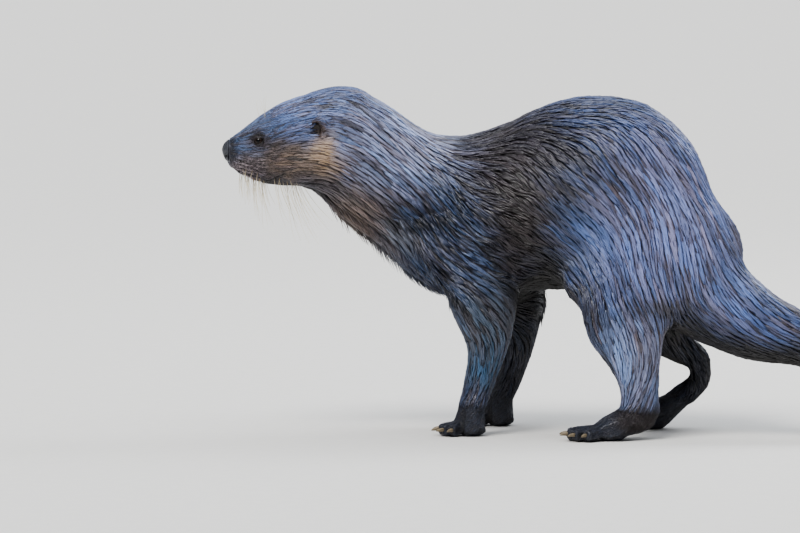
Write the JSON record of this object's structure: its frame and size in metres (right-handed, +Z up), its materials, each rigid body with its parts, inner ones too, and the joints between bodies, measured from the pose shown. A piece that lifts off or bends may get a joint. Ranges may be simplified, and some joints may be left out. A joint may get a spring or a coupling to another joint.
{
  "type": "river otter",
  "caption": "Life-size standing river otter with wet sleek coat, arched back, head stretched forward, thick tapering tail laid to the floor and webbed clawed feet.",
  "frame": {"origin": "on the floor under the middle of the animal's bounding box", "axes": "+X from the nose towards the tail, +Y from the animal's left side to its right side, +Z up"},
  "size_m": [0.899, 0.2244, 0.3456],
  "materials": {
    "coat": "wet, sleek guard hair in flat clumped locks, dark brown with a slate-blue sheen, paler on the cheek and throat",
    "paw_hide": "short dark hair over wrinkled hide, webbed toes",
    "nose_leather": "damp, finely pebbled dark nose pad",
    "eye": "wet dark brown eye",
    "claw_horn": "pale horn"
  },
  "bodies": {
    "root": {"chest": "coat", "claw_forefoot_left_1": "claw_horn", "claw_forefoot_left_2": "claw_horn", "claw_forefoot_left_3": "claw_horn", "claw_forefoot_left_4": "claw_horn", "claw_forefoot_left_5": "claw_horn", "claw_forefoot_right_1": "claw_horn", "claw_forefoot_right_2": "claw_horn", "claw_forefoot_right_3": "claw_horn", "claw_forefoot_right_4": "claw_horn", "claw_forefoot_right_5": "claw_horn", "claw_hindfoot_left_1": "claw_horn", "claw_hindfoot_left_2": "claw_horn", "claw_hindfoot_left_3": "claw_horn", "claw_hindfoot_left_4": "claw_horn", "claw_hindfoot_left_5": "claw_horn", "claw_hindfoot_right_1": "claw_horn", "claw_hindfoot_right_2": "claw_horn", "claw_hindfoot_right_3": "claw_horn", "claw_hindfoot_right_4": "claw_horn", "claw_hindfoot_right_5": "claw_horn", "ear_left": "coat", "ear_right": "coat", "eye_left": "eye", "eye_right": "eye", "forefoot_left": "paw_hide", "forefoot_right": "paw_hide", "foreleg_left_lower": "coat", "foreleg_left_upper": "coat", "foreleg_right_lower": "coat", "foreleg_right_upper": "coat", "head": "coat", "hindfoot_left": "paw_hide", "hindfoot_right": "paw_hide", "hindleg_left_lower": "coat", "hindleg_left_upper": "coat", "hindleg_right_lower": "coat", "hindleg_right_upper": "coat", "jaw": "coat", "loin": "coat", "neck": "coat", "nose_pad": "nose_leather", "rump": "coat", "tail_end": "coat", "tail_middle": "coat", "tail_root": "coat", "tail_tip": "coat"}
  },
  "joints": []
}
